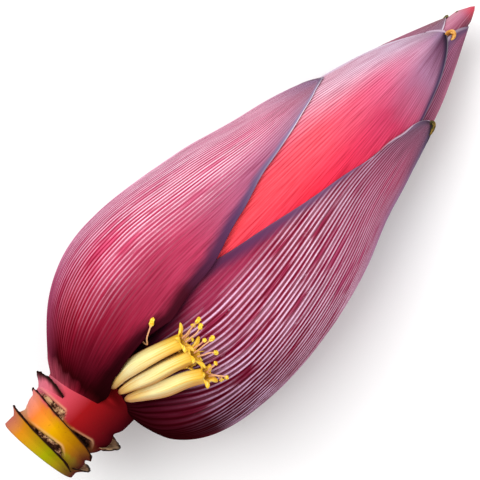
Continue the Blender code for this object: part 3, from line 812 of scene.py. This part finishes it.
right_inner_leaf = make_bract("right_inner", 40, 160, 90, mix_bract_skin(
    "right_inner_skin", 40, (-0.8, -0.4, 0.4),
    left=[(130, "902040"), (200, "7c3c58"), (253, "a87090")],
    middle=[(130, "80284c"), (200, "8c3854"), (228, "c07c98"), (253, "7c4860")],
    right=[(130, "7c2038"), (253, "783850")],
    bloom=[(130, "c49cb0"), (253, "c8a8bc")],
    dust_and_highlight=[(130, "606060"), (200, "808080"), (253, "707070")],
    calm=[(-1.0, "ffffff"), (1.0, "ffffff")],
    slate_left=[(130, "64486a"), (253, "604864")],
    slate_and_shadow_right=[(130, "5a3c54"), (253, "50384c")],
    slate_and_shadow_width=(2.6, 2.6),
    rim_line=[(130, "404040"), (245, "a0a0a0"), (253, "606060")]))

middle_leaf = make_bract("middle", 50, 200, 120, mix_bract_skin(
    "middle_skin", 50, (-0.6, -0.05, 0.4),
    left=[(120, "dc5068"), (160, "f890a8"), (190, "ecc4d4"), (225, "d4c4d8"), (243, "a08c9c")],
    middle=[(120, "fc5058"), (175, "f65c6c"), (210, "e0688c"), (230, "cc98b4"), (243, "8c7898")],
    right=[(120, "e03858"), (155, "f83048"), (200, "c84064"), (225, "a87898"),
           (237, "6c4460"), (243, "2c1c2c")],
    bloom=[(120, "f8b0b8"), (175, "f8b8c4"), (210, "e8ccd8"), (243, "d0c4d0")],
    dust_and_highlight=[(120, "303030"), (160, "4c4c4c"), (190, "5c5c5c"), (215, "787878"), (232, "a0a0a0"),
          (243, "606060")],
    calm=[(-1.0, "ffffff"), (-0.2, "c0c0c0"), (0.3, "505050"), (0.7, "707070"), (1.0, "909090")],
    slate_left=[(120, "a87890"), (200, "d0bcd0"), (235, "c8bccc"), (243, "a898a8")],
    slate_and_shadow_right=[(120, "6c3c58"), (196, "5c4464"), (212, "3c3050"), (232, "342c48"),
                 (243, "241c28")],
    slate_and_shadow_width=(3.2, 3.2),
    rim_line=[(120, "202020"), (190, "606060"), (243, "707070")]))

back_leaf = make_bract("back", 48, 192, 110, mix_bract_skin(
    "back_skin", 48, (-0.6, 0.0, 0.6),
    left=[(42, "4a0c18"), (100, "b43c60"), (160, "b46080"), (206, "846078")],
    middle=[(42, "680c18"), (100, "a03052"), (206, "785870")],
    right=[(42, "4a0c18"), (100, "982c4c"), (206, "745068")],
    bloom=[(42, "c09aa8"), (100, "dcb4c8"), (206, "cdb8c8")],
    dust_and_highlight=[(42, "101010"), (64, "606060"), (100, "b0b0b0"), (206, "909090")],
    calm=[(-1.0, "ffffff"), (1.0, "ffffff")],
    slate_left=[(42, "40202c"), (206, "685470")],
    slate_and_shadow_right=[(42, "40202c"), (206, "685470")],
    slate_and_shadow_width=(4.0, 4.0),
    rim_line=[(42, "000000"), (206, "606060")]))

right_outer_leaf = make_bract("right_outer", 56, 280, 150, mix_bract_skin(
    "right_outer_skin", 56, (-0.8, -0.1, 0.6),
    # The near-black base up to about 60 mm, beside and under the florets, is partly the skin's
    # colour and partly painted shade.
    left=[(38, "240408"), (60, "701c38"), (105, "9c3050"), (150, "982c4c"), (185, "986078"),
          (212, "706074")],
    middle=[(38, "2c060a"), (60, "400810"), (105, "861638"), (145, "b44c74"), (185, "bc6080"),
            (212, "886880")],
    right=[(38, "480810"), (55, "840c18"), (90, "641028"), (130, "904060"), (170, "8878a0"),
           (212, "585068")],
    bloom=[(38, "90607c"), (56, "b88cac"), (75, "dcb8d8"), (105, "e4bcd8"), (140, "e6c4da"),
           (185, "ccbcd4"), (212, "8c7c8c")],
    # The full wax on the belly is partly painted highlight.
    dust_and_highlight=[(38, "000000"), (50, "181818"), (60, "585858"), (68, "e0e0e0"), (85, "ffffff"),
          (140, "f4f4f4"), (165, "c0c0c0"), (190, "808080"), (212, "303030")],
    calm=[(-1.0, "404040"), (-0.95, "a0a0a0"), (-0.9, "ffffff"), (-0.7, "ffffff"),
          (0.6, "ffffff"), (1.0, "a0a0a0")],
    slate_left=[(38, "1c0408"), (90, "38142a"), (125, "523052"), (170, "6c4c6c"), (201, "907494"),
                (212, "403040")],
    slate_and_shadow_right=[(38, "1c0408"), (90, "40182c"), (130, "5c405c"), (212, "2c2028")],
    slate_and_shadow_width=(5.4, 5.4),
    rim_line=[(38, "000000"), (110, "202020"), (180, "404040"), (198, "c0c0c0"), (212, "606060")]))

left_outer_leaf = make_bract("left_outer", 62, 280, 150, mix_bract_skin(
    "left_outer_skin", 62, (0.0, 0.42, 0.86),
    # The dark maroon near the base at 34 mm, and the darker, wax-free right part by the florets,
    # are partly the skin's colour and partly painted shade.
    left=[(26, "e0788c"), (34, "8c3450"), (60, "bc5c84"), (100, "dc98b4"), (165, "e4acc4"),
          (195, "8c80a0")],
    middle=[(26, "e0647c"), (34, "3c060c"), (56, "b01c3c"), (80, "dc5078"), (160, "e488a8"),
            (195, "988498")],
    right=[(26, "b0203c"), (34, "2c0408"), (60, "881830"), (106, "b43c5c"), (150, "a86484"),
           (195, "9890a8")],
    bloom=[(26, "e898a0"), (40, "b87890"), (60, "e8b0cc"), (90, "f4cce0"), (130, "f6dcea"),
           (175, "ecd4e2"), (195, "b4a4b4")],
    # The full wax on the belly is partly painted highlight.
    dust_and_highlight=[(26, "000000"), (38, "080808"), (48, "606060"), (60, "d0d0d0"), (80, "ffffff"),
          (130, "f8f8f8"), (160, "c0c0c0"), (186, "808080"), (195, "202020")],
    calm=[(-1.0, "b0b0b0"), (-0.5, "ffffff"), (0.45, "ffffff"), (0.66, "b0b0b0"),
          (0.82, "383838"), (1.0, "202020")],
    slate_left=[(26, "3c0810"), (100, "6c3c58"), (165, "8c6c7c"), (195, "402c34")],
    # Near-black from 36 to 92 mm and 9 mm wide at the base: painted shadow of the gap under this
    # bract's raised free edge.
    slate_and_shadow_right=[(26, "5c1018"), (36, "180304"), (92, "1a060e"), (130, "443054"), (188, "8c84a8"),
                 (195, "504450")],
    slate_and_shadow_width=(9.0, 3.6),
    rim_line=[(26, "000000"), (120, "000000"), (140, "303030"), (160, "808080"), (178, "ffffff"),
              (190, "e0e0e0"), (195, "404040")],
    line_width=1.8))


# Florets ------------------------------------------------------------------------------
# A hand of male florets in two rows on a pad at the neck, under the raised bract edge.
# Each is a fleshy cream tube with five soft ribs, which opens into five curled teeth.

Floret = namedtuple("Floret", "route radii tooth curl")

# Routes from base to mouth: s, sideways towards -Y, and height above the axis, in mm
FLORETS = [
    Floret([(42.6, 3.4, 26.2), (50, 3.0, 34.5), (58, 4.1, 43.0), (67.5, 6.8, 49.4),
            (77, 10.2, 53.0)], [1.5, 2.9, 3.9, 3.6, 3.3], 4.8, 140),
    Floret([(43.2, 7.0, 25.2), (50, 8.6, 31.8), (58, 11.2, 39.0), (67.5, 14.0, 45.6),
            (76.2, 17.4, 49.8)], [1.5, 2.9, 3.8, 3.6, 3.3], 4.6, 150),
    Floret([(42.8, 10.8, 23.6), (50, 14.4, 28.2), (58, 18.6, 34.8), (67, 22.4, 41.0),
            (73.8, 26.4, 45.6)], [1.5, 2.9, 3.8, 3.6, 3.3], 4.2, 160),
    Floret([(46, 4.6, 24.2), (54, 4.9, 30.9), (64, 7.2, 38.8), (74.5, 10.6, 45.2)],
           [1.1, 1.8, 2.1, 2.2], 2.4, 150),
    Floret([(46, 8.4, 22.8), (54, 10.6, 28.1), (63, 13.4, 34.9), (72, 18.6, 42.2)],
           [1.1, 1.7, 2.0, 2.0], 2.2, 160),
    Floret([(43.6, -1.2, 25.0), (50, -3.6, 32.2), (57, -5.2, 38.0), (64.5, -5.8, 42.6)],
           [1.5, 2.9, 3.4, 3.1], 2.8, 160),
]
PETAL_WALL = 0.32 * MM
TUBE_END, TOOTH_END, TOOTH_BACK = 0.6, 0.78, 0.92    # shares of a floret's rows


def from_rows(rows):
    return [Vector((s * MM, -side * MM, height * MM)) for s, side, height in rows]


def along_route(points, share):
    """Point and direction on the smooth curve through the given points."""
    held = [points[0] * 2 - points[1], *points, points[-1] * 2 - points[-2]]
    at = min(max(share, 0.0), 1.0) * (len(points) - 1)
    span = min(int(at), len(points) - 2)
    t = at - span
    a, b, c, d = held[span:span + 4]
    point = 0.5 * (2 * b + (c - a) * t + (2 * a - 5 * b + 4 * c - d) * t ** 2
                   + (3 * b - a - 3 * c + d) * t ** 3)
    ahead = 0.5 * ((c - a) + 2 * (2 * a - 5 * b + 4 * c - d) * t
                   + 3 * (3 * b - a - 3 * c + d) * t ** 2)
    return point, ahead.normalized()


def bend_tube(columns, rows, skin_point):
    """Tube closed at both ends. skin_point(around, along) gives a point and its grain."""
    bm = bmesh.new()
    bmesh.ops.create_grid(bm, x_segments=columns, y_segments=rows, size=1)
    grain = bm.verts.layers.float_vector.new("grain")
    for vert in bm.verts:
        around, along = vert.co.x * math.pi, (vert.co.y + 1) / 2
        vert.co, vert[grain] = skin_point(around, along)
    bmesh.ops.remove_doubles(bm, verts=bm.verts, dist=0.002 * MM)
    ends = [edge for edge in bm.edges if edge.is_boundary]
    bmesh.ops.holes_fill(bm, edges=ends, sides=0)
    bmesh.ops.recalc_face_normals(bm, faces=bm.faces)
    return bm


def floret_point(floret, seed, around, along):
    points = from_rows(floret.route)
    widths = [Vector((radius * MM, 0, 0)) for radius in floret.radii]
    share = min(along / TUBE_END, 1.0)
    if along > TOOTH_BACK:
        share = 1 - 0.3 * (along - TOOTH_BACK) / (1 - TOOTH_BACK)
    centre, ahead = along_route(points, share)
    up = (Vector((0, 0, 1)) - ahead * ahead.z).normalized()
    side = ahead.cross(up)
    from_ridge = (5 * around + seed) % math.tau / 5 - math.pi / 5
    facet = blend(1, math.cos(math.pi / 5) / math.cos(from_ridge), 0.9)
    radius = along_route(widths, share)[0].x * facet * 1.04
    radius *= 0.55 + 0.45 * ease(-0.02, 0.06, share)
    lobe = round((around + seed) / (math.tau / 5))
    offset = around + seed - lobe * math.tau / 5
    width = abs(offset) / (math.tau / 10)
    wild = noise.noise(Vector((lobe * 5.1, seed * 3, 0.4)))
    tooth = MM * (0.2 + floret.tooth * (1 + 0.7 * wild) * (1 - width ** 2) ** 0.8)
    curl = math.radians(floret.curl * (1 - 0.9 * wild))
    bent, inward, level = 0.0, 0.0, share
    if TUBE_END < along <= TOOTH_BACK:
        if along <= TOOTH_END:
            bent = (along - TUBE_END) / (TOOTH_END - TUBE_END)
            level = 1 + bent
        else:
            bent = (TOOTH_BACK - along) / (TOOTH_BACK - TOOTH_END)
            inward, level = PETAL_WALL * (1 - 0.6 * bent), 2 + (1 - bent) * 0.3
    elif along > TOOTH_BACK:
        inward, level = 0.9 * MM, 2.4 + (1 - share)
    turned = curl * bent
    reach, flare = tooth / curl * math.sin(turned), tooth / curl * (1 - math.cos(turned))
    reach += inward * math.sin(turned)
    flare -= inward * math.cos(turned)
    squeezed = around - offset * 0.55 * bent
    direction = up * math.cos(squeezed) + side * math.sin(squeezed)
    point = centre + direction * (radius + flare) + ahead * reach
    return point, (math.sin(around), level, math.cos(around))


def mix_petal():
    """Waxy cream tube, tan at its foot, that ripens to orange yellow at the teeth, with painted
    shade in orange brown on its underside and one flank.
    """
    petal = Finish("floret_petal", specular=0.35)
    grain = petal.read("grain")
    side, level, up = petal.parts(grain)
    colour = petal.ramp(level, [
        (0.0, "a87040"), (0.06, "c89450"), (0.2, "e4c06c"), (0.42, "f6e8a8"),
        (0.7, "f4e494"), (0.88, "eec450"), (1.02, "ecb82c"), (1.6, "f8d83c"),
        (2.2, "f0bc28"), (2.6, "a06418"), (3.0, "341a0a")])
    on_tube = petal.span(level, 1.02, 0.9)
    # Painted shade: the underside of the tube turns orange brown.
    low = petal.sums("MULTIPLY", petal.span(up, 0.6, -0.3), on_tube)
    colour = petal.mix(low, colour, dye("b06414"))
    # Painted shade: one flank of the tube turns deeper orange.
    turned = petal.sums("MULTIPLY", petal.span(side, 0.25, 0.9), on_tube)
    colour = petal.mix(petal.sums("MULTIPLY", turned, 0.75), colour, dye("cc8420"))
    streaks = petal.cloud(petal.stretch(grain, 7, 2.2, 7), detail=4, roughness=0.6)
    colour = petal.mix(petal.span(streaks, 0.5, 0.75), colour, petal.mix(
        1.0, colour, dye("f0c890"), "MULTIPLY"))
    colour = petal.mix(petal.sums("MULTIPLY", petal.span(streaks, 0.48, 0.3), 0.35), colour,
                       dye("fbf3c8"))
    return petal.done(colour, 0.42, streaks, bump=0.25)


petal = mix_petal()
for number, floret in enumerate(FLORETS, start=1):
    bm = bend_tube(50, 72, lambda around, along: floret_point(
        floret, number * 1.7, around, along))
    piece = make_piece(f"floret_tube_{number}", bm, petal)
    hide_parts(f"floret_{number}")


# Stamens and styles -------------------------------------------------------------------
# Thin pinkish stalks that stick out of the mouths. Styles end in a lobed yellow stigma
# and stamens in a longer, curled yellow anther; both grow from inside the tube.

Thread = namedtuple("Thread", "floret route head")

# Routes in mm from the middle of the mouth, then how long the head is
THREADS = {
    "style_1": Thread(1, [(0.9, -0.8, 0.9), (6, -0.8, 3.6), (12.2, -1.6, 4.4)], 2.6),
    "stamen_1a": Thread(1, [(0.8, 1.3, 0.5), (6, 1.8, 2.4), (11.0, 0.9, 2.8)], 2.8),
    "stamen_1b": Thread(1, [(0.9, 0.2, -0.9), (5, -0.4, 0.6), (8.6, -1.4, 0.6)], 2.2),
    "style_2": Thread(2, [(0.9, -0.4, 1.0), (6, 0.4, 3.8), (11.6, 0.5, 4.4)], 2.8),
    "stamen_2a": Thread(2, [(0.9, -1.6, 0.0), (4.5, -1.4, 2.0), (8.4, -0.6, 2.4)], 2.4),
    "stamen_2b": Thread(2, [(0.7, 1.6, 0.0), (4.5, 3.6, 1.8), (8.0, 6.4, 1.4)], 2.4),
    "style_3": Thread(3, [(0.9, -0.3, 1.1), (4.0, -0.2, 4.2), (7.2, -0.4, 5.4)], 2.4),
    "stamen_3a": Thread(3, [(0.6, 1.5, -0.3), (3.8, 4.2, 2.0), (5.6, 7.8, 0.6)], 2.2),
    "stamen_3b": Thread(3, [(1.0, 0.3, -1.0), (2.8, 3.4, -0.8), (3.2, 6.8, -3.2)], 2.0),
    "stamen_4": Thread(4, [(0.7, 0.2, 0.5), (3.6, 1.2, 1.8), (6.4, 2.6, 2.4)], 2.0),
    "stamen_5": Thread(5, [(0.6, 0.8, 0.2), (2.8, 1.8, 2.4), (5.2, 2.2, 4.8)], 2.0),
    "style_6": Thread(6, [(0.7, 1.6, 0.8), (1.5, 6.4, 4.9), (2.3, 6.8, 7.9),
                          (4.5, 4.6, 11.6), (11.6, 1.2, 13.8)], 1.2),
}
THREAD_RADIUS = 0.34 * MM
HEAD_RADIUS = 0.78 * MM
THREAD_LENGTH = 10 * MM


def thread_point(thread, seed, around, along):
    mouth = from_rows(FLORETS[thread.floret - 1].route)[-1]
    points = [mouth + step for step in from_rows(thread.route)]
    centre, ahead = along_route(points, along)
    up = (Vector((0, 0, 1)) - ahead * ahead.z).normalized()
    side = ahead.cross(up)
    from_end = (1 - along) * THREAD_LENGTH / (thread.head * MM)
    head = ease(1.05, 0.7, from_end)
    radius = blend(THREAD_RADIUS * (1.1 - 0.25 * along), HEAD_RADIUS, head)
    radius *= 1 + head * 0.36 * math.cos(3 * around + seed + along * 9)
    radius *= 1 + head * 0.5 * noise.noise(Vector((along * 22, seed * 2, around)))
    radius *= math.sqrt(max(1 - max(1 - from_end * 3.2, 0.0) ** 2, 0.02))
    swirl = 0.16 * MM * math.sin(along * 9 + seed) * ease(0, 0.4, along)
    centre = centre + (side * swirl + up * swirl * math.cos(seed)) * (1 - head)
    point = centre + (up * math.cos(around) + side * math.sin(around)) * radius
    return point, (math.sin(around), head, math.cos(around))


def mix_thread():
    """Stalk from orange pink to pale, with a powdery yellow head."""
    thread = Finish("thread_skin", specular=0.3)
    grain = thread.read("grain")
    side, head, up = thread.parts(grain)
    spot = thread.add("TexCoord", {}, "Object")
    powder = thread.cloud(thread.stretch(spot, 1500, 1500, 1500), detail=3)
    stalk = thread.ramp(powder, [(0.35, "d08c50"), (0.5, "e4b080"), (0.65, "c87c6c")])
    yellow = thread.ramp(powder, [(0.35, "dc9c14"), (0.5, "f2c828"), (0.65, "f8e060")])
    colour = thread.mix(head, stalk, yellow)
    return thread.done(colour, 0.55, powder, bump=0.4)


thread_skin = mix_thread()
for order, (name, thread) in enumerate(THREADS.items()):
    bm = bend_tube(14, 48, lambda around, along: thread_point(
        thread, order * 2.3, around, along))
    piece = make_piece(f"{name}_thread", bm, thread_skin)
    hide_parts(name)


# Dried tips ---------------------------------------------------------------------------
# The points of bracts die first: they brown, shrink and curl over. Each curl is still
# joined to its bract or to the young bud, a small ridged twist of dead tissue.

Curl = namedtuple("Curl", "node slot start route radii colours")

OLIVE_BROWNS = [(0.4, "18140c"), (0.55, "3c3418"), (0.7, "7c7440")]

# Routes in mm from the point of the bract, with the radius at each place
CURLS = {
    "middle_tip": Curl(
        "bract_middle", "middle_bract", bract_outside(BRACTS["middle"], 50, 0, 1)[0],
        [(-1.6, 1.3, -0.2), (0.7, 1.7, 0.4), (1.9, 2.6, 0.8), (1.8, 3.7, 0.5),
         (0.7, 4.5, -0.1), (-0.8, 4.6, -0.4)], [0.5, 0.8, 0.9, 0.8, 0.6, 0.3],
        [(0.34, "2c1408"), (0.48, "94561c"), (0.58, "cc8a38"), (0.7, "e8b468")]),
    "right_outer_tip": Curl(
        "bract_right_outer", "outer_bract", bract_outside(BRACTS["right_outer"], 56, 0, 1)[0],
        [(-1.6, -0.6, -0.1), (0.3, 0.2, 0.4), (0.0, 1.5, 0.2), (-2.0, 2.5, -0.7),
         (-4.2, 3.3, -1.8)], [0.5, 0.8, 0.7, 0.6, 0.3],
        [(0.34, "141008"), (0.52, "2c2c14"), (0.63, "5c4c1c"), (0.74, "a88038")]),
    "left_inner_tip": Curl(
        "bract_left_inner", "inner_bract", bract_outside(BRACTS["left_inner"], 40, 0, 1)[0],
        [(-3.2, 0.0, 0.1), (-1.0, 0.0, 0.3), (0.8, 0.1, 0.4), (1.6, 0.5, 0.2)],
        [0.2, 0.5, 0.5, 0.25], OLIVE_BROWNS),
    "young_bud_tip": Curl(
        "bud_heart", "young_bud", place(253 * MM, heart_radius(253 * MM), math.radians(-72)),
        [(-1.4, 0.2, -0.1), (0.0, -0.1, 0.3), (0.9, -0.2, 0.3), (1.5, 0.3, 0.1)],
        [0.2, 0.5, 0.45, 0.2], OLIVE_BROWNS),
}


def curl_point(curl, around, along):
    points = [curl.start + step for step in from_rows(curl.route)]
    widths = [Vector((radius * MM, 0, 0)) for radius in curl.radii]
    centre, ahead = along_route(points, along)
    up = (Vector((0, 0, 1)) - ahead * ahead.z).normalized()
    side = ahead.cross(up)
    radius = along_route(widths, along)[0].x * (1 + 0.2 * math.cos(3 * around + along * 5))
    radius *= math.sqrt(max(1 - abs(2 * along - 1) ** 10, 0.02))
    point = centre + (up * 0.75 * math.cos(around) + side * 1.2 * math.sin(around)) * radius
    return point, (math.sin(around), along, math.cos(around))


def mix_dried_tip(name, colours):
    """Dead brown tissue, tan where it has bleached, with painted light and shade: paler on top,
    darker on one side and in its folds.
    """
    tip = Finish(name, specular=0.15)
    grain = tip.read("grain")
    wrinkles = tip.cloud(tip.stretch(grain, 1.6, 3.0, 1.6), detail=4, roughness=0.6)
    side, along, up = tip.parts(grain)
    # Painted light and shade: paler on the upper side, darker on one flank and in the folds.
    folds_and_shade = tip.sums("ADD", wrinkles, tip.sums("MULTIPLY", up, 0.1))
    folds_and_shade = tip.sums("SUBTRACT", folds_and_shade, tip.sums("MULTIPLY", side, 0.06))
    return tip.done(tip.ramp(folds_and_shade, colours), 0.6, wrinkles, bump=0.5)


for name, curl in CURLS.items():
    bm = bend_tube(24, 40, lambda around, along: curl_point(curl, around, along))
    piece = make_piece(f"{name}_curl", bm, mix_dried_tip(f"{name}_skin", curl.colours))
    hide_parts(curl.node)


# Studio -------------------------------------------------------------------------------
# A plain pale floor, one broad soft light above the bud's left side, a weaker one by the
# tip and an even pale surrounding. The camera looks square down on the lowered axis.

FLOOR_SIZE = 3.0
CAMERA_DISTANCE = 1.2
PICTURE_TURN = math.radians(-45.52)    # how far the picture is turned from the bud's axis
PICTURE_SHARE = 0.7687                 # side of the picture as a share of the bud's length
TIP_RIGHT, TIP_UP = 0.4896, 0.4875     # place of the tip in the picture, from its middle

stage_bm = bmesh.new()
bmesh.ops.create_grid(stage_bm, x_segments=1, y_segments=1, size=FLOOR_SIZE / 2)
floor_mesh = bpy.data.meshes.new("floor")
stage_bm.to_mesh(floor_mesh)
stage_bm.free()
floor_paint = Finish("floor_paint", specular=0.1)
floor_spot = floor_paint.add("TexCoord", {}, "Object")
floor_tone = floor_paint.ramp(floor_paint.cloud(floor_spot), [(0.3, "f8f8f8"), (0.7, "fbfbfb")])
floor_mesh.materials.append(floor_paint.done(floor_tone, 0.9))
floor = bpy.data.objects.new("floor", floor_mesh)
bpy.context.scene.collection.objects.link(floor)

world = bpy.data.worlds.new("studio")
world.use_nodes = True
world.node_tree.nodes["Background"].inputs["Color"].default_value = (1.0, 0.99, 0.985, 1.0)
world.node_tree.nodes["Background"].inputs["Strength"].default_value = 0.5
bpy.context.scene.world = world
bpy.context.scene.view_settings.view_transform = "Standard"


def add_softbox(name, where, towards, size, watts):
    light = bpy.data.lights.new(name, "AREA")
    light.size = size
    light.energy = watts
    lamp = bpy.data.objects.new(name, light)
    lamp.location = where
    aim = (Vector(towards) - Vector(where)).to_track_quat("-Z", "Y")
    lamp.rotation_euler = aim.to_euler()
    bpy.context.scene.collection.objects.link(lamp)


add_softbox("key", (0.05, 0.45, 1.15), (0, 0, 0.04), 0.9, 13)
add_softbox("fill", (0.8, -0.35, 0.9), (0, 0, 0.04), 0.9, 5)

stem_verts = [vert.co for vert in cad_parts["peduncle"].data.vertices]
lowest_x = min(co.x for co in stem_verts)
cut_rim = [co for co in stem_verts if co.x < lowest_x + 4 * MM]
cut_middle = sum(cut_rim, Vector()) / len(cut_rim)
side_length = PICTURE_SHARE * (tip_point - cut_middle).length
facing = lowered @ Matrix.Rotation(PICTURE_TURN, 4, "Z")
target = tip_point + facing @ Vector((-TIP_RIGHT * side_length, -TIP_UP * side_length, 0))
camera = bpy.data.cameras.new("camera")
camera.sensor_width = 36
camera.lens = camera.sensor_width * CAMERA_DISTANCE / side_length
camera_rig = bpy.data.objects.new("camera", camera)
camera_rig.matrix_world = Matrix.Translation(
    target + facing @ Vector((0, 0, CAMERA_DISTANCE))) @ facing
bpy.context.scene.collection.objects.link(camera_rig)
bpy.context.scene.camera = camera_rig
